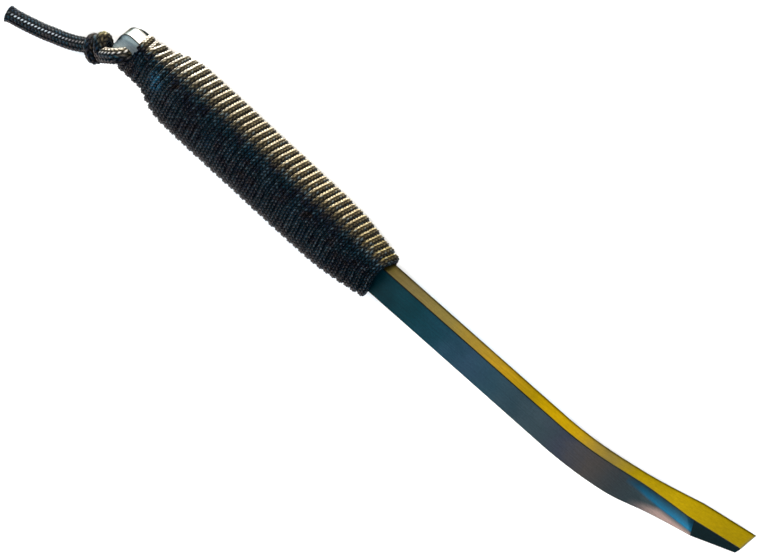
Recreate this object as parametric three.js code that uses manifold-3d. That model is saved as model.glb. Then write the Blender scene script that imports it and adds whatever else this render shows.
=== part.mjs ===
// A compact pry bar: one forged steel bar with a cord-wrapped grip and a short knotted lanyard.
// Millimetres, +Z up. The bar lies on its wide side with its tip towards +X, and bends towards +Y.
// The origin is on the surface that it lies on, under the middle of the bar and its grip.

import * as THREE from "three";
import { mergeVertices } from "three/addons/utils/BufferGeometryUtils.js";
import Module from "manifold-3d";

const wasm = await Module();
wasm.setup();

const degrees = THREE.MathUtils.degToRad;

// ---- driving dimensions: the bar -------------------------------------------------------------

const BAR_HEIGHT = 16; // flat stock, across the wide side
const BAR_THICKNESS = 8; // across the narrow edge
const BAR_CHAMFER = 0.6;
const BAR_LENGTH = 366.5; // along its middle line
const BUTT_ROUNDING = 5; // radius of the two corners of the wide side at the butt

const SET_START = 149; // the shank has a slight set just inside the grip
const SET_LENGTH = 14;
const SET_ANGLE = degrees(1.5);
const BEND_START = 261.5;
const BEND_LENGTH = 36;
const BEND_ANGLE = degrees(12.5);

const BLADE_WIDTH = 14;
const FLARE_START = 310.5; // the upper edge of the side starts to spread here
const FLARE_LENGTH = 28;
const FLARE_LAG = 4; // its lower edge spreads this much later
const FLARE_CURVE = 1.35; // the side wall is hollow where it spreads
const TAPER_START = 294.5; // the underside starts to rise here
const TAPER_EASE = 12; // over this length the rise grows to its full slope
const TAPER_SLOPE = 0.17;
const BEVEL_START = 342.5; // the ground bevel under the blade
const NOSE_DEPTH = 3.7; // depth of the blade where the bevel ends
const NOSE_LENGTH = 1.7; // the nose slopes back under the edge
const EDGE_DEPTH = 0.8;

const HOLE_RADIUS = 4.4;
const HOLE_FROM_BUTT = 7.5;
const HOLE_COUNTERSINK = 0.9;

// ---- driving dimensions: the cord -------------------------------------------------------------

const CLEARANCE = 0.3; // between pieces that touch
const FIRST_LAYER = 3.8; // thickness of the visible layer of cord
const TURN_COUNT = 39;
const TURN_PITCH = 3.63;
const TURN_GROOVE = 0.6;
const WRAP_START = 17.2; // from the butt
// How far the grip stands out from the bar: [distance from the butt, thickness].
const GRIP_PROFILE = [
  [17, 2.6], [20, 2.9], [24, 3.9], [29, 5.6], [35, 7.1], [41, 7.6], [121, 7.6], [132, 7.2],
  [137, 6.7], [142, 5.8], [147.5, 5.0], [153, 4.0], [159.5, 3.0],
];
const GRIP_THICKNESS = Math.max(...GRIP_PROFILE.map(([, thickness]) => thickness));
const UNDER_START = 30;
const UNDER_END = 148;
const HITCH_START = 12.5; // one flattened turn round the neck of the bar
const HITCH_END = 16.9;
const HITCH_THICKNESS = 2.4;

const CORD_RADIUS = 3.6; // the free cord
const STRAND_RADIUS = 3.2; // where it is pulled tight between the hitch and the knot
const KNOT_SIZE = new THREE.Vector3(6.3, 7.6, 7.0); // half sizes along, across and upwards
const LYING_HEIGHT = BAR_THICKNESS / 2 + GRIP_THICKNESS; // middle of the bar above the surface

// Middle line of the strand from the hitch, through the hole and over the butt to the knot.
const STRAND_ROUTE = [
  [12.1, 3.8, -7.7], [10.6, 3.8, -7.8], [8.7, 3.8, -6.8], [7.6, 3.8, -4.2], [7.5, 3.8, 0],
  [7.5, 3.8, 3.8], [7.0, 3.3, 6.9], [4.9, 1.4, 8.3], [1.9, -1.8, 7.8], [-0.6, -4.9, 6.2],
  [-2.2, -7.3, 4.2], [-3.6, -9.5, 2.2],
];
// Middle line of the tail, from the knot to its cut end.
const TAIL_ROUTE = [
  [-10.9, -17.8, -7.5], [-13.2, -19.9, -7.9], [-15.8, -21.9, -7.9], [-18.6, -23.8, -7.9],
  [-21.6, -25.5, -7.9], [-24.6, -26.9, -7.9], [-27.8, -28.3, -7.9], [-31.0, -29.8, -7.9],
  [-34.4, -31.2, -7.9], [-38.0, -32.5, -7.9], [-42.0, -33.9, -7.9], [-46.2, -35.2, -7.9],
  [-50.8, -36.5, -7.9],
];
const KNOT_CENTRE = new THREE.Vector3(-6.2, -12.7, KNOT_SIZE.z - LYING_HEIGHT);
const KNOT_HEADING = degrees(222); // of the cord through the knot, seen from above

// ---- materials ---------------------------------------------------------------------------------

const steel = new THREE.MeshStandardMaterial({ color: 0x4a5358, roughness: 0.38, metalness: 0.9 });
const wrapCord = new THREE.MeshStandardMaterial({ color: 0x2b2c27, roughness: 0.7, metalness: 0 });
const innerCord = new THREE.MeshStandardMaterial({ color: 0x1f201d, roughness: 0.8, metalness: 0 });
const lanyardCord = new THREE.MeshStandardMaterial({
  color: 0x23272b, roughness: 0.65, metalness: 0,
});

// ---- helpers -------------------------------------------------------------------------------------

// Straight-line reading of a list of [position, value] pairs.
function readProfile(profile, position) {
  const next = profile.findIndex(([at]) => at >= position);
  if (next === 0) return profile[0][1];
  if (next < 0) return profile[profile.length - 1][1];
  const [fromAt, fromValue] = profile[next - 1];
  const [toAt, toValue] = profile[next];
  return THREE.MathUtils.mapLinear(position, fromAt, toAt, fromValue, toValue);
}

// The bar's middle line: straight runs joined by arcs. Gives the point and heading at a distance
// from the butt, with the straight shank lying on Y = 0 and the butt at X = 0.
const SPINE_RUNS = [
  { length: SET_START, turn: 0 },
  { length: SET_LENGTH, turn: SET_ANGLE },
  { length: BEND_START - SET_START - SET_LENGTH, turn: 0 },
  { length: BEND_LENGTH, turn: BEND_ANGLE },
  { length: Infinity, turn: 0 },
];

function spineAt(distance) {
  const point = new THREE.Vector2(0, (SET_START + SET_LENGTH / 2) * Math.tan(SET_ANGLE));
  let heading = -SET_ANGLE;
  let left = distance;
  for (const run of SPINE_RUNS) {
    const step = Math.min(left, run.length);
    const turn = run.turn ? (run.turn * step) / run.length : 0;
    const chord = turn ? (2 * step * Math.sin(turn / 2)) / turn : step;
    point.x += chord * Math.cos(heading + turn / 2);
    point.y += chord * Math.sin(heading + turn / 2);
    heading += turn;
    left -= step;
    if (left <= 0) break;
  }
  return { point, heading };
}

// A point of a cross-section, given across the bar (y) and up (z), at a distance from the butt.
function placeOnSpine(distance, y, z) {
  const { point, heading } = spineAt(distance);
  return [point.x - y * Math.sin(heading), point.y + y * Math.cos(heading), z];
}

// Joins rings of equally many points into a closed skin. Closed rings of rings make a sleeve.
function skin(rings, sleeve = false) {
  const sides = rings[0].length;
  const positions = rings.flat(2);
  const indices = [];
  const bands = sleeve ? rings.length : rings.length - 1;
  for (let ring = 0; ring < bands; ring += 1) {
    const here = ring * sides;
    const there = ((ring + 1) % rings.length) * sides;
    for (let side = 0; side < sides; side += 1) {
      const next = (side + 1) % sides;
      indices.push(here + side, here + next, there + next);
      indices.push(here + side, there + next, there + side);
    }
  }
  if (!sleeve) {
    const last = (rings.length - 1) * sides;
    for (let side = 1; side < sides - 1; side += 1) {
      indices.push(0, side + 1, side);
      indices.push(last, last + side, last + side + 1);
    }
  }
  const geometry = new THREE.BufferGeometry();
  geometry.setAttribute("position", new THREE.Float32BufferAttribute(positions, 3));
  geometry.setIndex(indices);
  return geometry;
}

function toSolid(geometry) {
  const bare = geometry.clone();
  bare.deleteAttribute("normal");
  bare.deleteAttribute("uv");
  const merged = mergeVertices(bare);
  return new wasm.Manifold(new wasm.Mesh({
    numProp: 3,
    vertProperties: new Float32Array(merged.attributes.position.array),
    triVerts: new Uint32Array(merged.index.array),
  }));
}

function toGeometry(solid) {
  const mesh = solid.getMesh();
  const geometry = new THREE.BufferGeometry();
  geometry.setAttribute("position", new THREE.BufferAttribute(mesh.vertProperties, 3));
  geometry.setIndex(new THREE.BufferAttribute(mesh.triVerts, 1));
  return geometry;
}

function namedMesh(name, geometry, material) {
  geometry.computeVertexNormals();
  const mesh = new THREE.Mesh(geometry, material);
  mesh.name = name;
  return mesh;
}

// ---- the bar -------------------------------------------------------------------------------------

function bladeDepth(distance) {
  const rise = Math.max(0, Math.min(distance, BEVEL_START) - TAPER_START);
  const eased = rise < TAPER_EASE ? (rise * rise) / (2 * TAPER_EASE) : rise - TAPER_EASE / 2;
  const depth = BAR_HEIGHT - TAPER_SLOPE * eased;
  const nose = BAR_LENGTH - NOSE_LENGTH;
  if (distance <= BEVEL_START) return depth;
  if (distance <= nose) {
    return THREE.MathUtils.mapLinear(distance, BEVEL_START, nose, depth, NOSE_DEPTH);
  }
  return THREE.MathUtils.mapLinear(distance, nose, BAR_LENGTH, NOSE_DEPTH, EDGE_DEPTH);
}

// Half width of the side wall; share is 0 at the underside and 1 at the upper edge.
function halfWidth(distance, share) {
  const start = FLARE_START + FLARE_LAG * (1 - share);
  const progress = THREE.MathUtils.clamp((distance - start) / FLARE_LENGTH, 0, 1);
  return (BAR_THICKNESS + (BLADE_WIDTH - BAR_THICKNESS) * progress ** FLARE_CURVE) / 2;
}

// How far the upper and lower edges draw in where the butt is rounded.
function buttInset(distance) {
  const short = Math.max(0, BUTT_ROUNDING - distance);
  return BUTT_ROUNDING - Math.sqrt(BUTT_ROUNDING ** 2 - short ** 2);
}

function barSection(distance) {
  const top = BAR_HEIGHT / 2 - buttInset(distance);
  const depth = bladeDepth(distance) - 2 * buttInset(distance);
  const chamfer = Math.min(BAR_CHAMFER, depth / 4);
  const wall = [
    [top, halfWidth(distance, 1) - chamfer],
    [top - chamfer, halfWidth(distance, 1)],
    [top - depth / 3, halfWidth(distance, 2 / 3)],
    [top - (2 * depth) / 3, halfWidth(distance, 1 / 3)],
    [top - depth + chamfer, halfWidth(distance, 0)],
    [top - depth, halfWidth(distance, 0) - chamfer],
  ];
  const outline = [
    ...wall.map(([y, z]) => [y, z]),
    ...wall.reverse().map(([y, z]) => [y, -z]),
  ];
  return outline.map(([y, z]) => placeOnSpine(distance, y, z));
}

function evenly(from, to, count) {
  return Array.from({ length: count }, (_, i) => from + ((to - from) * (i + 1)) / count);
}

function makeBar() {
  const stations = [
    ...[0, 0.02, 0.12, 0.33, 0.63, 1].map((share) => share * BUTT_ROUNDING),
    ...evenly(BUTT_ROUNDING, SET_START, 1),
    ...evenly(SET_START, SET_START + SET_LENGTH, 3),
    ...evenly(SET_START + SET_LENGTH, BEND_START, 1),
    ...evenly(BEND_START, TAPER_START, 10),
    ...evenly(TAPER_START, FLARE_START, 6),
    ...evenly(FLARE_START, BEVEL_START, 14),
    ...evenly(BEVEL_START, BAR_LENGTH - NOSE_LENGTH, 2),
    BAR_LENGTH,
  ];
  const blank = toSolid(skin(stations.map(barSection)));
  const reach = BAR_THICKNESS / 2 + 1;
  const rim = HOLE_RADIUS + HOLE_COUNTERSINK + 1;
  const drill = new THREE.LatheGeometry([
    new THREE.Vector2(0, -reach),
    new THREE.Vector2(rim, -reach),
    new THREE.Vector2(HOLE_RADIUS, -BAR_THICKNESS / 2 + HOLE_COUNTERSINK),
    new THREE.Vector2(HOLE_RADIUS, BAR_THICKNESS / 2 - HOLE_COUNTERSINK),
    new THREE.Vector2(rim, reach),
    new THREE.Vector2(0, reach),
  ], 32);
  const [x, y] = placeOnSpine(HOLE_FROM_BUTT, 0, 0);
  drill.rotateX(Math.PI / 2);
  drill.translate(x, y, 0);
  return namedMesh("pry_bar", toGeometry(blank.subtract(toSolid(drill))), steel);
}

// ---- the grip ------------------------------------------------------------------------------------

const RING_CORNER_STEPS = 5;

// The bar's rectangle grown outwards by a thickness, with round corners.
function grownSection(distance, thickness) {
  const ring = [];
  for (let corner = 0; corner < 4; corner += 1) {
    const ySign = corner === 0 || corner === 3 ? 1 : -1;
    const zSign = corner < 2 ? 1 : -1;
    for (let step = 0; step < RING_CORNER_STEPS; step += 1) {
      const angle = (Math.PI / 2) * (corner + step / (RING_CORNER_STEPS - 1));
      const y = (ySign * BAR_HEIGHT) / 2 + thickness * Math.cos(angle);
      const z = (zSign * BAR_THICKNESS) / 2 + thickness * Math.sin(angle);
      ring.push(placeOnSpine(distance, y, z));
    }
  }
  return ring;
}

// A sleeve between an inner and an outer list of [distance, thickness].
function makeSleeve(outer, inner) {
  const rings = [...outer, ...inner.toReversed()];
  return skin(rings.map(([distance, thickness]) => grownSection(distance, thickness)), true);
}

function gripThickness(distance) {
  return readProfile(GRIP_PROFILE, distance);
}

function underThickness(distance) {
  return gripThickness(distance) - FIRST_LAYER;
}

function underStations() {
  const knots = GRIP_PROFILE.map(([at]) => at).filter((at) => at > UNDER_START && at < UNDER_END);
  return [UNDER_START, ...knots, UNDER_END];
}

function makeOverWrap() {
  const outer = [];
  for (let half = 0; half <= TURN_COUNT * 2; half += 1) {
    const distance = WRAP_START + (half * TURN_PITCH) / 2;
    const groove = half % 2 ? 0 : TURN_GROOVE;
    outer.push([distance, gripThickness(distance) - groove]);
  }
  const end = WRAP_START + TURN_COUNT * TURN_PITCH;
  const inner = [
    [WRAP_START, CLEARANCE],
    [UNDER_START - 1, CLEARANCE],
    ...underStations().map((at) => [at, underThickness(at) + CLEARANCE]),
    [UNDER_END + 1, CLEARANCE],
    [end, CLEARANCE],
  ];
  return namedMesh("grip_over_wrap", makeSleeve(outer, inner), wrapCord);
}

function makeUnderWrap() {
  const outer = underStations().map((at) => [at, underThickness(at)]);
  const inner = [[UNDER_START, CLEARANCE], [UNDER_END, CLEARANCE]];
  return namedMesh("grip_under_wrap", makeSleeve(outer, inner), innerCord);
}

function makeHitch() {
  const round = 0.7;
  const outer = [
    [HITCH_START, HITCH_THICKNESS - round],
    [HITCH_START + round, HITCH_THICKNESS],
    [HITCH_END - round, HITCH_THICKNESS],
    [HITCH_END, HITCH_THICKNESS - round],
  ];
  const inner = [[HITCH_START, CLEARANCE], [HITCH_END, CLEARANCE]];
  return namedMesh("lanyard_hitch", makeSleeve(outer, inner), lanyardCord);
}

// ---- the lanyard -----------------------------------------------------------------------------------

const TUBE_SIDES = 10;

function makeTube(name, route, radius, steps) {
  const path = new THREE.CatmullRomCurve3(route.map((point) => new THREE.Vector3(...point)));
  const section = new THREE.Shape();
  for (let side = 0; side < TUBE_SIDES; side += 1) {
    const angle = (2 * Math.PI * side) / TUBE_SIDES;
    const x = radius * Math.cos(angle);
    const y = radius * Math.sin(angle);
    if (side === 0) section.moveTo(x, y);
    else section.lineTo(x, y);
  }
  section.closePath();
  const tube = new THREE.ExtrudeGeometry(section, { steps, extrudePath: path });
  return namedMesh(name, toGeometry(toSolid(tube)), lanyardCord);
}

function makeKnot() {
  const ball = new THREE.SphereGeometry(1, 20, 14);
  ball.scale(KNOT_SIZE.x, KNOT_SIZE.y, KNOT_SIZE.z);
  ball.rotateZ(KNOT_HEADING);
  ball.translate(KNOT_CENTRE.x, KNOT_CENTRE.y, KNOT_CENTRE.z);
  return namedMesh("lanyard_knot", toGeometry(toSolid(ball)), lanyardCord);
}

// ---- assembly --------------------------------------------------------------------------------------

const model = new THREE.Group();
const solids = [makeBar(), makeUnderWrap(), makeOverWrap(), makeHitch()];
model.add(...solids);
const bounds = new THREE.Box3().setFromObject(model);
model.add(
  makeTube("lanyard_strand", STRAND_ROUTE, STRAND_RADIUS, 22),
  makeKnot(),
  makeTube("lanyard_tail", TAIL_ROUTE, CORD_RADIUS, 14),
);
const centre = bounds.getCenter(new THREE.Vector3());
model.position.set(-centre.x, -centre.y, -bounds.min.z);

export default model;
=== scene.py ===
"""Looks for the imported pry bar: a steel bar with a flared chisel end, a grip wrapped in braided cord,
and a short knotted lanyard. Metres, in the row frame: +X to the tip, +Y to the side it bends to."""

import math

import bpy
import numpy as np
from mathutils import Matrix, Vector


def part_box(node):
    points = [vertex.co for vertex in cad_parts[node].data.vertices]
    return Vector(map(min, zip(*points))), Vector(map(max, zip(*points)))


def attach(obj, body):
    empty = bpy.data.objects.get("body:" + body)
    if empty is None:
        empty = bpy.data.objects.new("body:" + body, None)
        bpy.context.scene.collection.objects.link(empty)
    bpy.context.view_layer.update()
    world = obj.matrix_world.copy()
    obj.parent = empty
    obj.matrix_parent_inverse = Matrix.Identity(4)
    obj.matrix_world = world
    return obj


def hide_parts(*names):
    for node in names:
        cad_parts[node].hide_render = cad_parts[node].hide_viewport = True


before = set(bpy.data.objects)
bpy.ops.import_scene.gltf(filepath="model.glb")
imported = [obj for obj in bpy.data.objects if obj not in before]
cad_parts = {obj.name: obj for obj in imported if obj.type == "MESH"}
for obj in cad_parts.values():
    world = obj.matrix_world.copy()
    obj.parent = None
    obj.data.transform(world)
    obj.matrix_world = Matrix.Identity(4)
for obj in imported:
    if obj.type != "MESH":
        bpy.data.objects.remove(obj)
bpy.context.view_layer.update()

MM = 0.001

# ---- driving dimensions, as in the CAD model, in millimetres ------------------------------------

BAR_HEIGHT = 16.0
BAR_THICKNESS = 8.0
BAR_LENGTH = 366.5
BUTT_ROUNDING = 5.0
EDGE_RADIUS = 0.4

SET_START, SET_LENGTH, SET_ANGLE = 149.0, 14.0, math.radians(1.5)
BEND_START, BEND_LENGTH, BEND_ANGLE = 261.5, 36.0, math.radians(12.5)

BLADE_WIDTH = 14.0
FLARE_START, FLARE_LENGTH, FLARE_LAG, FLARE_CURVE = 310.5, 28.0, 4.0, 1.35
TAPER_START, TAPER_EASE, TAPER_SLOPE = 294.5, 12.0, 0.17
BEVEL_START = 342.5
NOSE_DEPTH, NOSE_LENGTH, EDGE_DEPTH = 3.7, 1.7, 0.8

HOLE_RADIUS, HOLE_FROM_BUTT, HOLE_COUNTERSINK = 4.4, 7.5, 0.9

WRAP_START, TURN_COUNT, TURN_PITCH = 17.2, 39, 3.58
WRAP_CORD_HEIGHT = 4.0
WRAP_CORD_WIDTH = 3.95
# How far the grip stands out from the bar: [distance from the butt, thickness].
GRIP_PROFILE = np.array([
    [17, 2.6], [20, 2.9], [24, 4.5], [29, 6.1], [35, 7.3], [41, 7.6], [121, 7.6], [132, 7.2],
    [137, 6.8], [142, 6.2], [147.5, 5.5], [153, 4.9], [160.5, 3.4],
])

PICK = 1.85  # length of one pick of the braid
PICK_SLANT = 0.55  # how far a pick runs along the cord as it crosses its column, in picks
MEAN_BRAID_HEIGHT = 0.6
POINTS_PER_COLUMN = 3
CORD_STEP = PICK / 4  # length between the rings of a cord's mesh

# The datum is the middle of the butt end. Lengths along the bar start there.
bar_low, bar_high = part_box("pry_bar")
DATUM = np.array([
    bar_low.x + 0.08 * MM,
    bar_low.y + BAR_HEIGHT / 2 * MM,
    (bar_low.z + bar_high.z) / 2,
])


def to_row(points):
    """Millimetres from the datum to metres in the row frame."""
    return DATUM + np.asarray(points, float) * MM


# ---- camera: nearly square on, looking down at the front edge from the tip's side ---------------

CAMERA_RIGHT = Vector((0.7402, 0.4251, -0.5209)).normalized()
CAMERA_BACK = CAMERA_RIGHT.cross(Vector((-0.6560, 0.6268, -0.4203))).normalized()
CAMERA_UP = CAMERA_BACK.cross(CAMERA_RIGHT)
LOOK_AT = Vector(to_row([158.8, -1.6, 0.0]))
VIEW_WIDTH = 0.3373  # metres across the picture, at the object
CAMERA_DISTANCE = 10.0

camera_data = bpy.data.cameras.new("camera")
camera_data.sensor_width = 36.0
camera_data.lens = camera_data.sensor_width * CAMERA_DISTANCE / VIEW_WIDTH
camera = bpy.data.objects.new("camera", camera_data)
bpy.context.scene.collection.objects.link(camera)
turned = Matrix((CAMERA_RIGHT, CAMERA_UP, CAMERA_BACK)).transposed().to_4x4()
camera.matrix_world = Matrix.Translation(LOOK_AT + CAMERA_BACK * CAMERA_DISTANCE) @ turned
bpy.context.scene.camera = camera

# ---- shape helpers --------------------------------------------------------------------------------


def spine_at(distance):
    """The bar's middle line: x, y and heading at distances from the butt, in millimetres."""
    distance = np.asarray(distance, float)
    marks = np.linspace(0.0, BAR_LENGTH, 3001)
    heading = (
        -SET_ANGLE
        + SET_ANGLE * np.clip((marks - SET_START) / SET_LENGTH, 0, 1)
        + BEND_ANGLE * np.clip((marks - BEND_START) / BEND_LENGTH, 0, 1)
    )
    step = np.diff(marks, prepend=0.0)
    middle = (heading + np.roll(heading, 1)) / 2
    middle[0] = heading[0]
    x = np.cumsum(step * np.cos(middle))
    y = np.cumsum(step * np.sin(middle)) + (SET_START + SET_LENGTH / 2) * math.tan(SET_ANGLE)
    return tuple(np.interp(distance, marks, values) for values in (x, y, heading))


def place_on_spine(distance, y, z):
    """Points of cross-sections, y across and z up, at distances from the butt."""
    spine_x, spine_y, heading = spine_at(distance)
    return np.stack(
        [spine_x - y * np.sin(heading), spine_y + y * np.cos(heading), z + 0 * spine_x], axis=-1
    )


def mesh_object(name, points, faces, uvs=None):
    """A smooth-shaded mesh piece from points in millimetres, with optional corner UVs."""
    mesh = bpy.data.meshes.new(name)
    mesh.from_pydata(to_row(points).tolist(), [], faces)
    mesh.shade_smooth()
    if uvs is not None:
        layer = mesh.uv_layers.new(name="braid")
        layer.data.foreach_set("uv", np.asarray(uvs, np.float32).ravel())
    piece = bpy.data.objects.new(name, mesh)
    bpy.context.scene.collection.objects.link(piece)
    return piece


def distance_along(route):
    """Distance from a route's start to each of its points."""
    steps = np.linalg.norm(np.diff(route, axis=0), axis=1)
    return np.concatenate([[0], np.cumsum(steps)])


STEPS_PER_SPAN = 24


def smooth_route(points):
    """A smooth line through the points (Catmull-Rom), resampled at even steps."""
    knots = np.asarray(points, float)
    ends = np.vstack([2 * knots[0] - knots[1], knots, 2 * knots[-1] - knots[-2]])
    t = np.linspace(0, 1, STEPS_PER_SPAN, endpoint=False)[:, None]
    line = []
    for a, b, c, d in zip(ends, ends[1:], ends[2:], ends[3:]):
        line.append(
            0.5
            * (
                2 * b
                + (c - a) * t
                + (2 * a - 5 * b + 4 * c - d) * t**2
                + (3 * b - a - 3 * c + d) * t**3
            )
        )
    line = np.vstack([*line, knots[-1:]])
    run = distance_along(line)
    marks = np.linspace(0, run[-1], max(2, round(run[-1] / CORD_STEP) + 1))
    return np.stack([np.interp(marks, run, line[:, k]) for k in range(3)], axis=1)


def unit(vectors):
    return vectors / np.linalg.norm(vectors, axis=-1, keepdims=True)


def carried_normals(route, start):
    """Normals carried along a route with the least twist."""
    tangents = unit(np.gradient(route, axis=0))
    normal = np.asarray(start, float)
    normals = []
    for tangent in tangents:
        normal = unit(normal - tangent * normal.dot(tangent))
        normals.append(normal)
    return np.array(normals)


def squared_off(values, power):
    return np.sign(values) * np.abs(values) ** power


def braid_height(along, around):
    """Height of a braid's surface, 0 to 1. along counts picks, around counts columns of picks."""
    column = np.floor(around + 1e-6)
    across = around - column
    odd = np.mod(column, 2)
    phase = along + (1 - 2 * odd) * PICK_SLANT * (across - 0.5) + 0.5 * odd
    local = phase - np.floor(phase)
    return (4 * local * (1 - local)) ** 0.6 * (0.25 + 0.75 * (4 * across * (1 - across)) ** 0.5)


def braided_cord(name, route, normals, half_width, half_height, columns, relief, flatness=1.0):
    """A closed braided cord along a route. half_width lies across the normals, half_height along.
    A flatness below 1 squares the section off, as where turns press on each other."""
    route = np.asarray(route, float)
    tangents = unit(np.gradient(route, axis=0))
    sides = unit(np.cross(tangents, normals))
    ring_count = len(route)
    around_count = columns * POINTS_PER_COLUMN
    around = np.arange(around_count) / POINTS_PER_COLUMN
    angle = 2 * math.pi * around / columns
    run = distance_along(route) / PICK
    height = relief * (braid_height(run[:, None], around[None, :]) - MEAN_BRAID_HEIGHT)
    wide = np.broadcast_to(half_width, ring_count)[:, None] + height
    tall = np.broadcast_to(half_height, ring_count)[:, None] + height
    points = (
        route[:, None, :]
        + normals[:, None, :] * (tall * squared_off(np.cos(angle), flatness))[..., None]
        + sides[:, None, :] * (wide * squared_off(np.sin(angle), flatness))[..., None]
    ).reshape(-1, 3)
    ring = np.arange(ring_count - 1)[:, None] * around_count
    here = np.arange(around_count)[None, :]
    beside = (here + 1) % around_count
    quads = np.stack(
        [ring + here, ring + beside, ring + around_count + beside, ring + around_count + here],
        axis=-1,
    ).reshape(-1, 4)
    u0 = np.broadcast_to(run[:-1, None], (ring_count - 1, around_count))
    u1 = np.broadcast_to(run[1:, None], (ring_count - 1, around_count))
    v0 = np.broadcast_to(around[None, :], u0.shape)
    v1 = v0 + 1 / POINTS_PER_COLUMN
    corners = [np.stack(corner, axis=-1) for corner in ((u0, v0), (u0, v1), (u1, v1), (u1, v0))]
    uvs = np.stack(corners, axis=-2).reshape(-1, 2)
    start_centre, end_centre = len(points), len(points) + 1
    points = np.vstack([points, route[:1], route[-1:]])
    last_ring = (ring_count - 1) * around_count
    caps = []
    for side in range(around_count):
        next_side = (side + 1) % around_count
        caps.append([next_side, side, start_centre])
        caps.append([last_ring + side, last_ring + next_side, end_centre])
    cap_uvs = np.zeros((3 * len(caps), 2))
    return mesh_object(name, points, quads.tolist() + caps, np.vstack([uvs, cap_uvs]))


# ---- the lanyard ----------------------------------------------------------------------------------

# The cord's middle line, as in the CAD model: out of the hole, through the knot, to the cut end.
CORD_ROUTE = [
    [7.5, 3.8, 3.8], [7.0, 3.3, 6.9], [4.9, 1.4, 8.3], [1.9, -1.8, 7.8], [-0.6, -4.9, 6.2],
    [-2.2, -7.3, 4.2], [-3.6, -9.5, 2.2], [-5.6, -12.4, -1.8], [-8.0, -15.2, -5.6],
    [-10.9, -17.8, -7.5], [-13.2, -19.9, -7.9], [-15.8, -21.9, -7.9], [-18.6, -23.8, -7.9],
    [-21.6, -25.5, -7.9], [-24.6, -26.9, -7.9], [-27.8, -28.3, -7.9], [-31.0, -29.8, -7.9],
    [-34.4, -31.2, -7.9], [-38.0, -32.5, -7.9], [-42.0, -33.9, -7.9], [-46.2, -35.2, -7.9],
    [-50.8, -36.5, -7.9],
]
FREE_COLUMNS = 12
TURN_COLUMNS = 10

cord_line = smooth_route(CORD_ROUTE)
cord_run = distance_along(cord_line)
cord_left = cord_run[-1] - cord_run
# Pulled tight inside the knot; melted and spread at the cut end.
cord_radius = np.interp(cord_run, [14.0, 17.0, 30.0, 34.0], [3.5, 2.1, 2.1, 3.5])
cord_flare = np.interp(cord_left, [0, 0.8, 2.5], [0.5, 0.3, 0.0])
cord_normals = carried_normals(cord_line, [0, 0.3, 1])
cord = braided_cord(
    "lanyard_cord", cord_line, cord_normals, cord_radius + cord_flare, cord_radius, FREE_COLUMNS,
    relief=0.4,
)
# A painted glint, a row of light picks, runs along the top of the tail, in the column that faces up and
# forward there.
tail_ring = len(cord_line) - 22
tail_up = cord_normals[tail_ring]
tail_side = unit(np.cross(cord_line[tail_ring + 2] - cord_line[tail_ring - 2], tail_up))
up_and_forward = np.array([-0.2, 0.57, 0.8])
glint_angle = math.atan2(up_and_forward @ tail_side, up_and_forward @ tail_up)
GLINT_COLUMN = math.floor(glint_angle / (2 * math.pi) * FREE_COLUMNS) % FREE_COLUMNS
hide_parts("lanyard_strand", "lanyard_tail")
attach(cord, "root")

# The knot's turns wind round the cord between its two ends, and dip into it where they start and stop.
KNOT_ENDS = np.array([[-3.5, -5.6, 1.2], [-7.6, -12.4, -1.2]])
KNOT_HEADING = math.radians(222)
KNOT_FIRST_TURN, KNOT_LAST_TURN = -0.55, 1.75
KNOT_REACH_ACROSS, KNOT_REACH_UP = 4.4, 3.3
KNOT_HALF_WIDTH, KNOT_HALF_HEIGHT = 3.05, 2.85
knot_across = np.array([math.sin(KNOT_HEADING), -math.cos(KNOT_HEADING), 0.0])
knot_up = np.array([0.0, 0.0, 1.0])
knot_turns = np.linspace(KNOT_FIRST_TURN, KNOT_LAST_TURN, 150)[::6, None]
knot_angle = 2 * math.pi * knot_turns
knot_out = np.interp(knot_turns, [KNOT_FIRST_TURN, -0.3, 1.5, KNOT_LAST_TURN], [0.35, 1, 1, 0.35])
knot_share = np.interp(
    knot_turns, [KNOT_FIRST_TURN, 0.0, 0.5, 0.7, 1.2, KNOT_LAST_TURN], [0.2, 0.0, 0.1, 0.9, 1.0, 0.9]
)
knot_line = smooth_route(
    KNOT_ENDS[0]
    + (KNOT_ENDS[1] - KNOT_ENDS[0]) * knot_share
    + knot_across * KNOT_REACH_ACROSS * knot_out * np.cos(knot_angle)
    + knot_up * KNOT_REACH_UP * knot_out * np.sin(knot_angle)
)
knot = braided_cord(
    "lanyard_knot_turns", knot_line, carried_normals(knot_line, [0, 0.2, 1]), KNOT_HALF_WIDTH,
    KNOT_HALF_HEIGHT, TURN_COLUMNS, relief=0.5,
)
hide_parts("lanyard_knot")
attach(knot, "root")

# ---- turns round the bar ----------------------------------------------------------------------------


def turn_section(turn, reach):
    """Points and outward normals of a rounded section that lies reach outside the bar. turn counts
    turns from the middle of the back edge, over the upper face to the front edge."""
    half_y, half_z = BAR_HEIGHT / 2 + 1.28 * reach, BAR_THICKNESS / 2 + reach
    power = np.interp(reach, [1.0, 3.0, 5.6], [5.0, 4.2, 3.5])
    angle = math.pi - 2 * math.pi * turn
    towards_y, towards_z = np.cos(angle), np.sin(angle)
    stretch = np.abs(towards_y / half_y) ** power + np.abs(towards_z / half_z) ** power
    y, z = towards_y * stretch ** (-1 / power), towards_z * stretch ** (-1 / power)
    normal_y = np.sign(y) * np.abs(y / half_y) ** (power - 1) / half_y
    normal_z = np.sign(z) * np.abs(z / half_z) ** (power - 1) / half_z
    length = np.hypot(normal_y, normal_z)
    return y, z, normal_y / length, normal_z / length


def wound_route(turns, distance, reach):
    """Route and outward normals of cord wound round the bar."""
    y, z, normal_y, normal_z = turn_section(turns, reach)
    _, _, heading = spine_at(distance)
    route = place_on_spine(distance, y, z)
    normals = np.stack([-normal_y * np.sin(heading), normal_y * np.cos(heading), normal_z], axis=-1)
    return route, normals


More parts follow.
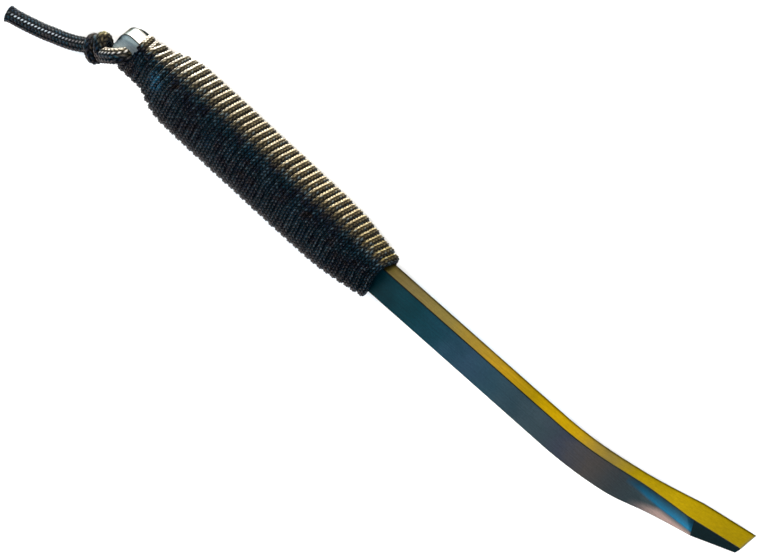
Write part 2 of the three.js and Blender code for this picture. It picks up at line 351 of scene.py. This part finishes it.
def waves(turns, seed, strength):
    """Slow, repeatable unevenness along a winding."""
    rng = np.random.default_rng(seed)
    total = np.zeros_like(turns)
    for rate in (0.37, 0.81, 1.9, 3.3):
        total += math.sqrt(1 / rate) * np.sin(2 * math.pi * (rate * turns + rng.random()))
    return strength * total / 2


def turns_between(first, last, turn_length):
    """Counts of turns from first to last, one for each ring of the cord's mesh."""
    return np.linspace(first, last, int((last - first) * turn_length / CORD_STEP))


WRAP_UNEVENNESS, WRAP_RELIEF = 0.12, 0.4
WRAP_PRESSED_IN = 0.3  # how far the wrap sinks into the layer under it
WRAP_LEAD = 0.9  # how far its turns are drawn toward the butt on the wide faces
WRAP_TURN_LENGTH, NECK_TURN_LENGTH = 84.0, 62.0

wrap_turns = turns_between(-0.6, TURN_COUNT - 0.38, WRAP_TURN_LENGTH)
wrap_distance = WRAP_START + TURN_PITCH / 2 + wrap_turns * TURN_PITCH
wrap_distance = wrap_distance + waves(wrap_turns, 3, WRAP_UNEVENNESS)
wrap_reach = np.interp(wrap_distance, GRIP_PROFILE[:, 0], GRIP_PROFILE[:, 1])
wrap_reach = wrap_reach - WRAP_CORD_HEIGHT / 2 - WRAP_PRESSED_IN
wrap_reach = wrap_reach + waves(wrap_turns, 8, WRAP_UNEVENNESS * 2 / 3)
wrap_reach = np.maximum(wrap_reach, 1.0)
lead = -WRAP_LEAD * np.cos(4 * math.pi * (wrap_turns - 0.33))
wrap_line, wrap_normals = wound_route(wrap_turns, wrap_distance + lead, wrap_reach)
wrap = braided_cord(
    "grip_wrap", wrap_line, wrap_normals, WRAP_CORD_WIDTH / 2, WRAP_CORD_HEIGHT / 2, TURN_COLUMNS,
    WRAP_RELIEF, flatness=0.82,
)
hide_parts("grip_over_wrap", "grip_under_wrap")
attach(wrap, "root")

# The lanyard's turns beside the hole come out of it, and lie flatter over the front edge.
NECK_START, NECK_PITCH = 9.3, 3.9
NECK_HALF_WIDTH, NECK_HALF_HEIGHT = 2.2, 1.4
NECK_FIRST_TURN, NECK_OUT_OF_HOLE = -0.4, -0.3
neck_turns = turns_between(NECK_FIRST_TURN, 2.3, NECK_TURN_LENGTH)
neck_distance = NECK_START + NECK_PITCH * neck_turns
neck_front = np.clip(-np.cos(2 * math.pi * neck_turns), 0, 1) ** 2
neck_reach = NECK_HALF_HEIGHT - 0.8 * np.where(neck_turns > 0, neck_front, 0.0)
neck_reach = neck_reach + np.interp(neck_turns, [NECK_FIRST_TURN, NECK_OUT_OF_HOLE], [-3.0, 0.0])
neck_line, neck_normals = wound_route(-neck_turns, neck_distance, neck_reach)
neck = braided_cord(
    "lanyard_neck_turns", neck_line, neck_normals, NECK_HALF_WIDTH, NECK_HALF_HEIGHT, TURN_COLUMNS,
    WRAP_RELIEF,
)
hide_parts("lanyard_hitch")
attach(neck, "root")

# ---- the bar ----------------------------------------------------------------------------------------


def blade_depth(distance):
    """Depth between the narrow faces: full, then tapered along the blade, then ground to the edge."""
    rise = np.clip(np.minimum(distance, BEVEL_START) - TAPER_START, 0, None)
    eased = np.where(rise < TAPER_EASE, rise**2 / (2 * TAPER_EASE), rise - TAPER_EASE / 2)
    depth = BAR_HEIGHT - TAPER_SLOPE * eased
    marks = [BEVEL_START, BAR_LENGTH - NOSE_LENGTH, BAR_LENGTH]
    end_depth = BAR_HEIGHT - TAPER_SLOPE * (BEVEL_START - TAPER_START - TAPER_EASE / 2)
    ground = np.interp(distance, marks, [end_depth, NOSE_DEPTH, EDGE_DEPTH])
    return np.where(distance > BEVEL_START, ground, depth)


def half_width(distance, share):
    """Half the width between the wide faces. The flare starts later toward the back edge."""
    start = FLARE_START + FLARE_LAG * (1 - share)
    progress = np.clip((distance - start) / FLARE_LENGTH, 0, 1)
    return (BAR_THICKNESS + (BLADE_WIDTH - BAR_THICKNESS) * progress**FLARE_CURVE) / 2


def butt_inset(distance):
    """How far the butt's rounding takes each narrow face in."""
    short = np.clip(BUTT_ROUNDING - distance, 0, None)
    return BUTT_ROUNDING - np.sqrt(BUTT_ROUNDING**2 - short**2)


WALL_STEPS = 12
CORNER_STEPS = 4


def bar_section():
    """One side's outline as (share of the depth, inset down, inset across). The insets are measured
    from the section's corner, and the wall between the corners has none. The points of each corner
    run backwards: a thin fin as high as the edge radius stands along each long edge, and the narrow
    faces between the fins lie that much lower."""
    corner = [
        (EDGE_RADIUS * (1 - math.cos(angle)), EDGE_RADIUS * (1 - math.sin(angle)))
        for angle in np.linspace(0, math.pi / 2, CORNER_STEPS + 1)
    ]
    upper = [(1.0, down, across) for down, across in reversed(corner)]
    wall = [(1 - step / WALL_STEPS, None, None) for step in range(WALL_STEPS + 1)]
    lower = [(0.0, down, across) for down, across in corner]
    return upper + wall + lower


def bar_ring(station, lean):
    """One cross-section, leaning with the flare where lean is 1."""
    outline = []
    for share, inset_down, inset_across in bar_section():
        distance = min(station + FLARE_LAG * (1 - share) * lean, BAR_LENGTH)
        top = BAR_HEIGHT / 2 - butt_inset(distance)
        depth = blade_depth(distance) - 2 * butt_inset(distance)
        scale = min(1.0, depth / (4 * EDGE_RADIUS))
        wide = half_width(distance, share)
        if inset_down is None:
            margin = EDGE_RADIUS * 1.15 * scale
            y = top - margin - (1 - share) * (depth - 2 * margin)
            z = wide
        else:
            down = inset_down * scale
            y = top - down if share == 1.0 else top - depth + down
            z = wide - inset_across * scale
        outline.append((distance, y, z))
    return outline + [(distance, y, -z) for distance, y, z in reversed(outline)]


FLARE_END = FLARE_START + FLARE_LENGTH
stations = np.unique(np.round(np.concatenate([
    BUTT_ROUNDING * (1 - np.cos(np.linspace(0, math.pi / 2, 12))),
    np.linspace(BUTT_ROUNDING, SET_START, 20),
    np.linspace(SET_START, SET_START + SET_LENGTH, 8),
    np.linspace(SET_START + SET_LENGTH, BEND_START, 14),
    np.linspace(BEND_START, TAPER_START, 20),
    np.linspace(TAPER_START, FLARE_START, 10),
    np.linspace(FLARE_START, FLARE_END, 30),
    np.linspace(FLARE_END, BAR_LENGTH - NOSE_LENGTH, 14),
    [BAR_LENGTH - NOSE_LENGTH / 2, BAR_LENGTH],
]), 4))
lean = np.interp(stations, [BEND_START, FLARE_START, FLARE_END, BAR_LENGTH - NOSE_LENGTH], [0, 1, 1, 0])
rings = np.array([bar_ring(station, tilt) for station, tilt in zip(stations, lean)])
bar_points = place_on_spine(rings[..., 0], rings[..., 1], rings[..., 2])
ring_size = bar_points.shape[1]
bar_faces = []
for ring in range(len(stations) - 1):
    for side in range(ring_size):
        beside = (side + 1) % ring_size
        here, there = ring * ring_size, (ring + 1) * ring_size
        bar_faces.append([here + side, there + side, there + beside, here + beside])
bar_faces.append(list(range(ring_size)))
bar_faces.append(list(range((len(stations) - 1) * ring_size, len(stations) * ring_size))[::-1])
bar = mesh_object("bar", bar_points.reshape(-1, 3), bar_faces)

# The drill is a cylinder that widens at 45 degrees past each face, which leaves the countersinks.
DRILL_SIDES = 64
DRILL_REACH = 6.0
drill_face = BAR_THICKNESS / 2
drill_flare = HOLE_RADIUS + HOLE_COUNTERSINK + DRILL_REACH - drill_face
drill_profile = [
    (drill_flare, -DRILL_REACH), (HOLE_RADIUS, HOLE_COUNTERSINK - drill_face),
    (HOLE_RADIUS, drill_face - HOLE_COUNTERSINK), (drill_flare, DRILL_REACH),
]
hole_x, hole_y, _ = spine_at(HOLE_FROM_BUTT)
drill_points, drill_faces = [], []
for radius, level in drill_profile:
    for side in range(DRILL_SIDES):
        angle = 2 * math.pi * side / DRILL_SIDES
        along, across = radius * math.cos(angle), radius * math.sin(angle)
        drill_points.append([hole_x + along, hole_y + across, level])
for band in range(len(drill_profile) - 1):
    low, high = band * DRILL_SIDES, (band + 1) * DRILL_SIDES
    for side in range(DRILL_SIDES):
        beside = (side + 1) % DRILL_SIDES
        drill_faces.append([low + side, low + beside, high + beside, high + side])
drill_faces.append(list(range(DRILL_SIDES))[::-1])
drill_faces.append(list(range(len(drill_points) - DRILL_SIDES, len(drill_points))))
drill = mesh_object("drill", np.array(drill_points), drill_faces)

cut = bar.modifiers.new("hole", "BOOLEAN")
cut.object = drill
cut.solver = "EXACT"
bpy.context.view_layer.update()
bored = bpy.data.meshes.new_from_object(bar.evaluated_get(bpy.context.evaluated_depsgraph_get()))
bar.modifiers.clear()
bar.data = bored
bpy.data.objects.remove(drill)
bar.data.set_sharp_from_angle(angle=math.radians(28))
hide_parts("pry_bar")
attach(bar, "root")

# ---- materials --------------------------------------------------------------------------------------


class Nodes:
    """Short calls for building a material's node tree."""

    def __init__(self, name):
        self.material = bpy.data.materials.new(name)
        self.material.use_nodes = True
        self.tree = self.material.node_tree
        self.shader = self.tree.nodes["Principled BSDF"]

    def add(self, kind, **settings):
        node = self.tree.nodes.new(kind)
        for key, value in settings.items():
            setattr(node, key, value)
        return node

    def link(self, source, target):
        self.tree.links.new(source, target)

    def split(self, vector):
        """A vector's X, Y and Z."""
        node = self.add("ShaderNodeSeparateXYZ")
        self.link(vector, node.inputs[0])
        return tuple(node.outputs)

    def feed(self, socket, value):
        if isinstance(value, bpy.types.NodeSocket):
            self.link(value, socket)
        else:
            socket.default_value = value

    def math(self, operation, first, second=0.0, third=0.0):
        node = self.add("ShaderNodeMath", operation=operation)
        for socket, value in zip(node.inputs, (first, second, third)):
            self.feed(socket, value)
        return node.outputs[0]

    def ramp(self, value, stops):
        node = self.add("ShaderNodeValToRGB")
        stops = list(stops)
        elements = node.color_ramp.elements
        while len(elements) < len(stops):
            elements.new(0.5)
        for element, (position, colour) in zip(elements, stops):
            element.position = position
            element.color = (*colour, 1.0)
        self.link(value, node.inputs["Fac"])
        return node.outputs["Color"]

    def fade(self, value, first, last, falling=False):
        """0 below the first value and 1 above the last, or the reverse if falling."""
        shades = ((1, 1, 1), (0, 0, 0)) if falling else ((0, 0, 0), (1, 1, 1))
        return self.ramp(value, zip((first, last), shades))

    def mix(self, share, first, second, blend="MIX"):
        node = self.add("ShaderNodeMix", data_type="RGBA", blend_type=blend)
        self.feed(node.inputs["Factor"], share)
        self.feed(node.inputs["A"], first)
        self.feed(node.inputs["B"], second)
        return node.outputs["Result"]

    def noise(self, vector, scale, detail=3.0, roughness=0.5):
        node = self.add("ShaderNodeTexNoise")
        self.link(vector, node.inputs["Vector"])
        node.inputs["Scale"].default_value = scale
        node.inputs["Detail"].default_value = detail
        node.inputs["Roughness"].default_value = roughness
        return node.outputs["Fac"]

    def grey(self, value):
        shade = self.add("ShaderNodeCombineColor")
        for socket in shade.inputs:
            self.link(value, socket)
        return shade.outputs[0]

    def facing(self, place, direction):
        """How far the surface faces a direction of the object, 1 when square on."""
        node = self.add("ShaderNodeVectorMath", operation="DOT_PRODUCT")
        self.link(place.outputs["Normal"], node.inputs[0])
        node.inputs[1].default_value = Vector(direction).normalized()
        return node.outputs["Value"]

    def spread(self, vector, scale):
        node = self.add("ShaderNodeMapping")
        node.inputs["Scale"].default_value = scale
        self.link(vector, node.inputs["Vector"])
        return node.outputs["Vector"]

    def bump(self, height, strength, distance):
        node = self.add("ShaderNodeBump")
        node.inputs["Strength"].default_value = strength
        node.inputs["Distance"].default_value = distance
        self.link(height, node.inputs["Height"])
        return node.outputs["Normal"]


BAR_SPAN = 0.363  # metres along X from the butt to the tip, with the origin halfway

# The part of the blade's upper flank with painted reflections, in metres before and after a mark on the
# bar's middle line.
FLANK_MARK = 330.0
FLANK_BEFORE_MARK, FLANK_AFTER_MARK = 0.026, 0.0142
BEVEL_SLANT = 0.0045  # how much further back the bevel begins at the front edge, in metres
FLANK_HEIGHTS = 60.0  # heights per metre: the back edge of the flank is near 0, the front edge near 1


def flank_painted_reflections(n, wide, x, y, up, along):
    """Painted reflections on the blade's upper flank: a blue wedge by its front edge and a pinkish one
    by its back edge, which both end where the bevel begins."""
    lean = BEND_ANGLE - SET_ANGLE
    mark_x, mark_y, _ = spine_at(FLANK_MARK)
    mark = to_row([float(mark_x), float(mark_y), 0.0])
    height = n.math(
        "ADD",
        n.math("MULTIPLY", n.math("SUBTRACT", x, mark[0]), -math.sin(lean)),
        n.math("MULTIPLY", n.math("SUBTRACT", y, mark[1]), math.cos(lean)),
    )
    height = n.math("MULTIPLY_ADD", height, FLANK_HEIGHTS, 0.5)
    tipward = n.math("MULTIPLY_ADD", height, BEVEL_SLANT, x)
    flank = n.math("GREATER_THAN", x, mark[0] - FLANK_BEFORE_MARK)
    flank = n.math("MULTIPLY", flank, n.math("LESS_THAN", tipward, mark[0] + FLANK_AFTER_MARK))
    flank = n.math("MULTIPLY", flank, n.math("GREATER_THAN", up, 0.7))
    sweep = n.fade(along, 0.848, 0.888)
    rise = n.math("MULTIPLY_ADD", sweep, 0.30, -0.30)

    # Painted blue reflection, with a brighter painted highlight band part way up the flank.
    blue = n.ramp(height, [
        (0.54, (0.02, 0.18, 0.27)), (0.64, (0.0, 0.30, 0.60)), (0.74, (0.0, 0.22, 0.44)),
        (0.90, (0.001, 0.10, 0.18)),
    ])
    blue_share = n.fade(n.math("MULTIPLY_ADD", rise, 0.45, height), 0.51, 0.63)
    blue_share = n.math("MULTIPLY", blue_share, n.fade(along, 0.826, 0.858))
    wide = n.mix(n.math("MULTIPLY", flank, blue_share), wide, blue)
    pink_share = n.fade(n.math("SUBTRACT", height, rise), 0.43, 0.61, falling=True)
    pink_share = n.math("MULTIPLY", pink_share, sweep)
    return n.mix(n.math("MULTIPLY", flank, pink_share), wide, (0.80, 0.62, 0.58, 1.0))


def steel_material():
    """Steel coloured by face and place: straw and gold on the narrow edges, blue and slate on the wide
    faces, partly a heat tint and partly painted reflection of warm and cool light.
    """
    n = Nodes("steel_tint_and_painted_light")
    place = n.add("ShaderNodeTexCoord")
    x, y, _ = n.split(place.outputs["Object"])
    _, facing_y, facing_z = n.split(place.outputs["Normal"])
    along = n.math("MULTIPLY_ADD", x, 1 / BAR_SPAN, 0.5)
    edge_share = n.math("ABSOLUTE", facing_y)

    grain = n.noise(n.spread(place.outputs["Object"], (60.0, 1500.0, 1500.0)), 1.0, 4.0, 0.6)
    mottle = n.noise(place.outputs["Object"], 90.0, 4.0, 0.55)
    wobble = n.math("MULTIPLY_ADD", mottle, 0.05, along)

    # Wide faces from butt to tip: painted shade at the butt's end and a painted glint on the butt, then
    # teal, slate and grey, partly heat tint and partly a painted broad reflection.
    wide = n.ramp(wobble, [
        (0.018, (0.004, 0.008, 0.015)), (0.026, (0.02, 0.03, 0.04)), (0.034, (0.35, 0.42, 0.45)),
        (0.10, (0.30, 0.33, 0.36)), (0.44, (0.0004, 0.05, 0.065)),
        (0.48, (0.0006, 0.085, 0.13)), (0.52, (0.0014, 0.12, 0.18)), (0.56, (0.015, 0.15, 0.24)),
        (0.61, (0.068, 0.20, 0.34)), (0.65, (0.062, 0.20, 0.30)), (0.69, (0.085, 0.19, 0.26)),
        (0.73, (0.115, 0.21, 0.27)), (0.77, (0.12, 0.16, 0.24)), (0.81, (0.20, 0.19, 0.19)),
        (0.85, (0.10, 0.14, 0.17)), (0.89, (0.085, 0.16, 0.20)), (0.955, (0.004, 0.045, 0.065)),
    ])
    # Narrow faces from butt to tip: a painted white highlight on the butt, a painted dark reflection of
    # the wrap just past its end, then straw and gold, partly heat tint and partly painted warm
    # reflection.
    narrow = n.ramp(wobble, [
        (0.02, (0.85, 0.85, 0.83)), (0.12, (0.60, 0.56, 0.48)), (0.435, (0.02, 0.022, 0.001)),
        (0.455, (0.06, 0.047, 0.002)), (0.47, (0.095, 0.07, 0.022)), (0.50, (0.118, 0.09, 0.034)),
        (0.56, (0.16, 0.12, 0.030)), (0.66, (0.29, 0.17, 0.006)), (0.70, (0.24, 0.155, 0.0)),
        (0.74, (0.34, 0.21, 0.0)), (0.78, (0.31, 0.19, 0.003)), (0.82, (0.15, 0.11, 0.025)),
        (0.86, (0.21, 0.145, 0.0)), (0.92, (0.27, 0.185, 0.0)), (1.00, (0.20, 0.14, 0.0)),
    ])
    side = n.fade(edge_share, 0.80, 0.97)
    # Painted shade: a dark line along the upper arris, between the gold and blue faces.
    arris_shade = n.ramp(edge_share, [
        (0.10, (0, 0, 0)), (0.35, (1, 1, 1)), (0.96, (1, 1, 1)), (0.999, (0, 0, 0)),
    ])
    arris_shade = n.math("MULTIPLY", arris_shade, n.math("GREATER_THAN", facing_z, 0.03))
    wide = flank_painted_reflections(n, wide, x, y, facing_z, along)
    colour = n.mix(side, wide, narrow)
    colour = n.mix(arris_shade, colour, (0.005, 0.007, 0.007, 1.0))
    specks = n.noise(place.outputs["Object"], 900.0, 3.0, 0.7)
    specks = n.ramp(specks, [(0.30, (0.78, 0.78, 0.78)), (0.70, (1.0, 1.0, 1.0))])
    colour = n.mix(1.0, colour, specks, "MULTIPLY")
    streaks = n.ramp(grain, [(0.35, (1.0, 1.0, 1.0)), (0.65, (0.80, 0.80, 0.80))])
    colour = n.mix(1.0, colour, streaks, "MULTIPLY")
    n.link(colour, n.shader.inputs["Base Color"])
    n.shader.inputs["Metallic"].default_value = 1.0
    n.shader.inputs["Specular Tint"].default_value = (1.0, 0.9, 0.6, 1.0)
    rough = n.math("MULTIPLY_ADD", grain, 0.18, 0.26)
    worn = n.ramp(along, [(0.04, (0.4, 0.4, 0.4)), (0.09, (0.1, 0.1, 0.1))])
    n.link(n.math("ADD", rough, n.math("MULTIPLY", mottle, worn)), n.shader.inputs["Roughness"])
    n.link(n.bump(grain, 0.12, 0.0002), n.shader.inputs["Normal"])
    return n.material


# Metres along X, from the tail's cut end to the far end of the wrap.
CORD_START, CORD_SPAN = -0.235, 0.22
BLUE_SHEEN_PLACE = [25.8, 5.8, 9.0]


def braid_picks(n):
    """The braid's columns and picks, from the mesh's own UVs: each point's column, its height on its
    pick, that height with fine filaments added, and a random value for its pick."""
    uv = n.add("ShaderNodeUVMap", uv_map="braid")
    along, around, _ = n.split(uv.outputs["UV"])
    column = n.math("FLOOR", around)
    across = n.math("FRACT", around)
    odd = n.math("MODULO", column, 2.0)
    sense = n.math("MULTIPLY_ADD", odd, -2.0, 1.0)
    slant = n.math("MULTIPLY", sense, n.math("SUBTRACT", across, 0.5))
    phase = n.math("MULTIPLY_ADD", slant, PICK_SLANT, along)
    phase = n.math("MULTIPLY_ADD", odd, 0.5, phase)
    local = n.math("FRACT", phase)
    hump = n.math("MULTIPLY", n.math("MULTIPLY", local, n.math("SUBTRACT", 1.0, local)), 4.0)
    ridge = n.math("MULTIPLY", n.math("MULTIPLY", across, n.math("SUBTRACT", 1.0, across)), 4.0)
    height = n.math("MULTIPLY", n.math("POWER", hump, 1.2), n.math("POWER", ridge, 0.8))
    strand = n.math("ADD", local, n.math("MULTIPLY", slant, 1.2))
    filament = n.math("SINE", n.math("MULTIPLY", strand, 38.0))
    fine = n.math("MULTIPLY_ADD", filament, 0.06, height)
    cell = n.add("ShaderNodeCombineXYZ")
    n.link(n.math("FLOOR", phase), cell.inputs[0])
    n.link(column, cell.inputs[1])
    chance = n.add("ShaderNodeTexWhiteNoise", noise_dimensions="3D")
    n.link(cell.outputs[0], chance.inputs["Vector"])
    return column, height, fine, chance.outputs["Value"]


def cord_material(name, glint_column=None):
    """Braided nylon: slanting picks in columns, with fine filaments along each pick. Nearly black, with
    painted light: khaki and cream on the side that faces the front and the butt, painted shade between
    picks and painted glints. The lanyard has a painted highlight along one column of picks."""
    n = Nodes(name)
    on_lanyard = glint_column is not None
    column, height, fine, chance = braid_picks(n)
    place = n.add("ShaderNodeTexCoord")
    x, _, _ = n.split(place.outputs["Object"])
    butt_to_tip = n.math("MULTIPLY_ADD", x, 1 / CORD_SPAN, -CORD_START / CORD_SPAN)

    # The dark yarn. Browner toward the back and the front edge is painted warm light: a painted rim
    # light on the back and painted warm key light on the front.
    patches = n.noise(place.outputs["Object"], 110.0, 3.0, 0.6)
    dark = n.ramp(patches, [
        (0.30, (0.0008, 0.0055, 0.011)), (0.48, (0.0008, 0.0042, 0.0065)),
        (0.58, (0.001, 0.0022, 0.005)), (0.68, (0.003, 0.0022, 0.0022)),
    ])
    # back: painted warm rim light on the side that faces back and up.
    back = n.fade(n.facing(place, (-0.2, -0.75, 0.6)), 0.76, 0.90)
    dark = n.mix(back, dark, (0.024, 0.017, 0.013, 1.0))
    # front: painted warm light on the side that faces the front edge, away from the tail.
    front = n.fade(n.facing(place, (0.0, 1.0, 0.0)), 0.45, 0.75)
    off_tail = n.fade(butt_to_tip, 0.196, 0.206)
    dark = n.mix(n.math("MULTIPLY", front, off_tail), dark, (0.0065, 0.0055, 0.003, 1.0))
    uneven = n.math("MULTIPLY_ADD", chance, 0.7, 0.6)
    # A random tone per pick, times painted shade in the gaps between picks.
    tone_and_gap_shade = n.math("MULTIPLY", uneven, n.math("MULTIPLY_ADD", n.math("POWER", height, 2.4), 4.2, 0.03))
    dark = n.mix(1.0, dark, n.grey(tone_and_gap_shade), "MULTIPLY")
    # Painted glints on random picks: light blue on top, warm on the back side.
    glint_picks = n.math("MULTIPLY", n.math("GREATER_THAN", chance, 0.78), n.math("POWER", height, 3.0))
    glint_pick_colour = (0.016, 0.014, 0.014, 1.0) if on_lanyard else (0.022, 0.040, 0.052, 1.0)
    dark = n.mix(glint_picks, dark, n.mix(back, glint_pick_colour, (0.045, 0.035, 0.028, 1.0)))
    # A painted blue sheen on the picks where the wrap starts.
    sheen = n.add("ShaderNodeVectorMath", operation="DISTANCE")
    n.link(place.outputs["Object"], sheen.inputs[0])
    sheen.inputs[1].default_value = to_row(BLUE_SHEEN_PLACE)
    sheen_share = n.fade(n.math("MULTIPLY", sheen.outputs["Value"], 100.0), 0.30, 0.55, falling=True)
    sheen_share = n.math("MULTIPLY", sheen_share, n.math("MULTIPLY", height, chance))
    dark = n.mix(sheen_share, dark, (0.008, 0.07, 0.13, 1.0))

    # Painted light: the side that faces the front, the butt and down is lit, cream near the butt and
    # khaki toward the tip, with painted shade between the picks.
    # tint is the colour of the painted light along the cord.
    tint = n.ramp(butt_to_tip, [
        (0.00, (0.05, 0.06, 0.08)), (0.196, (0.08, 0.08, 0.08)), (0.206, (0.30, 0.28, 0.12)),
        (0.24, (1.0, 0.95, 0.90)), (0.33, (1.0, 1.0, 1.0)), (0.50, (0.80, 0.74, 0.62)),
        (0.85, (0.72, 0.62, 0.42)), (0.94, (0.50, 0.42, 0.20)), (0.97, (0.22, 0.18, 0.04)),
    ])
    painted_lit_side = n.ramp(n.facing(place, (-0.65, 0.62, -0.45)), [
        (0.16, (0.0, 0.0, 0.0)), (0.36, (0.0025, 0.002, 0.001)), (0.54, (0.013, 0.011, 0.006)),
        (0.68, (0.045, 0.039, 0.026)), (0.76, (0.13, 0.12, 0.10)), (0.84, (0.31, 0.30, 0.275)),
        (1.00, (0.38, 0.37, 0.345)),
    ])
    power, gain, base = (2.0, 2.0, 0.04) if on_lanyard else (1.0, 1.75, 0.22)
    lit_tone_and_gap_shade = n.math("MULTIPLY", uneven, n.math("MULTIPLY_ADD", n.math("POWER", height, power), gain, base))
    painted_lit_side = n.mix(1.0, n.mix(1.0, tint, painted_lit_side, "MULTIPLY"), n.grey(lit_tone_and_gap_shade), "MULTIPLY")
    colour = n.mix(1.0, dark, painted_lit_side, "ADD")

    if on_lanyard:
        # A painted glint along one column of the lanyard's picks; light is its colour along the cord.
        light = n.ramp(butt_to_tip, [
            (0.00, (0.01, 0.01, 0.01)), (0.015, (0.02, 0.02, 0.02)), (0.03, (0.22, 0.26, 0.30)),
            (0.11, (0.20, 0.23, 0.27)), (0.16, (0.07, 0.06, 0.06)), (0.20, (0.20, 0.20, 0.20)),
        ])
        on_glint_column = n.math("COMPARE", column, float(glint_column), 0.5)
        share = n.math("MULTIPLY", on_glint_column, n.math("POWER", height, 4.5))
        colour = n.mix(share, colour, light)
    n.link(colour, n.shader.inputs["Base Color"])
    n.link(n.math("MULTIPLY_ADD", chance, 0.1, 0.26), n.shader.inputs["Roughness"])
    n.shader.inputs["Specular IOR Level"].default_value = 0.04
    n.link(n.bump(fine, 1.0, 0.0003), n.shader.inputs["Normal"])
    return n.material


steel = steel_material()
wrap_braid = cord_material("wrap_nylon")
lanyard_braid = cord_material("lanyard_nylon", GLINT_COLUMN)
bar.data.materials.clear()
bar.data.materials.append(steel)
for piece in (wrap, neck, knot):
    piece.data.materials.append(wrap_braid)
cord.data.materials.append(lanyard_braid)

# ---- floor and light --------------------------------------------------------------------------------


def floor_material():
    n = Nodes("floor")
    n.shader.inputs["Base Color"].default_value = (0.95, 0.95, 0.95, 1.0)
    n.shader.inputs["Roughness"].default_value = 0.9
    n.shader.inputs["Specular IOR Level"].default_value = 0.1
    return n.material


FLOOR_REACH = 8.0
floor_mesh = bpy.data.meshes.new("floor")
floor_mesh.from_pydata(
    [(x * FLOOR_REACH, y * FLOOR_REACH, -0.0002) for x, y in ((-1, -1), (1, -1), (1, 1), (-1, 1))],
    [], [(0, 1, 2, 3)],
)
floor_mesh.materials.append(floor_material())
floor = bpy.data.objects.new("floor", floor_mesh)
bpy.context.scene.collection.objects.link(floor)


def softbox(name, towards, distance, size, power, colour):
    """A rectangular area light in a direction from the object, turned to face it."""
    data = bpy.data.lights.new(name, "AREA")
    data.shape = "RECTANGLE"
    data.size, data.size_y = size
    data.energy = power
    data.color = colour
    light = bpy.data.objects.new(name, data)
    direction = Vector(towards).normalized()
    light.location = direction * distance
    light.rotation_mode = "QUATERNION"
    light.rotation_quaternion = direction.to_track_quat("Z", "Y")
    bpy.context.scene.collection.objects.link(light)


softbox("key", (-0.62, 0.85, 0.10), 1.6, (1.2, 0.26), 120, (1.0, 0.93, 0.82))
softbox("glint", (-0.52, 0.42, 0.745), 1.8, (0.35, 0.35), 14, (0.90, 0.95, 1.0))
softbox("top", (0.50, 0.75, 1.0), 2.0, (1.4, 1.4), 58, (0.90, 0.95, 1.0))
softbox("rim", (-0.33, -0.93, 0.14), 1.6, (0.9, 0.22), 20, (1.0, 0.84, 0.80))
softbox("cool", (-0.65, -0.65, 0.42), 1.6, (0.25, 0.25), 5, (0.45, 0.80, 1.0))

world = bpy.data.worlds.new("studio")
bpy.context.scene.world = world
world.use_nodes = True
world.node_tree.nodes["Background"].inputs["Color"].default_value = (0.86, 0.92, 1.0, 1.0)
world.node_tree.nodes["Background"].inputs["Strength"].default_value = 0.12
bpy.context.scene.view_settings.view_transform = "Standard"
